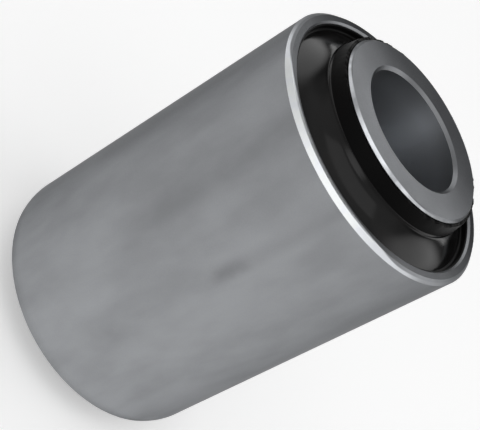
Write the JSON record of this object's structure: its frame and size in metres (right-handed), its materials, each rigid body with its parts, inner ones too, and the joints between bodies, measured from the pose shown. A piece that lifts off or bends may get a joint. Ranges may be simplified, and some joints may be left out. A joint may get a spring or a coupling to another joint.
{
  "type": "rubber metal bush",
  "caption": "Bonded bush: a rubber ring between a thin outer steel sleeve and a longer, thick-walled inner steel sleeve that a bolt passes through.",
  "frame": {"origin": "middle of the bore, at half the bush's length", "axes": "+Z along the bore, towards the end where the outer sleeve has its square rim"},
  "size_m": [0.045, 0.045, 0.07],
  "materials": {
    "outer_steel": "satin drawn tube",
    "black_rubber": "smooth moulded, slightly glossy",
    "inner_steel": "satin turned"
  },
  "bodies": {
    "root": {"outer_sleeve": "outer_steel", "rubber_ring": "black_rubber", "inner_sleeve": "inner_steel"}
  },
  "joints": []
}
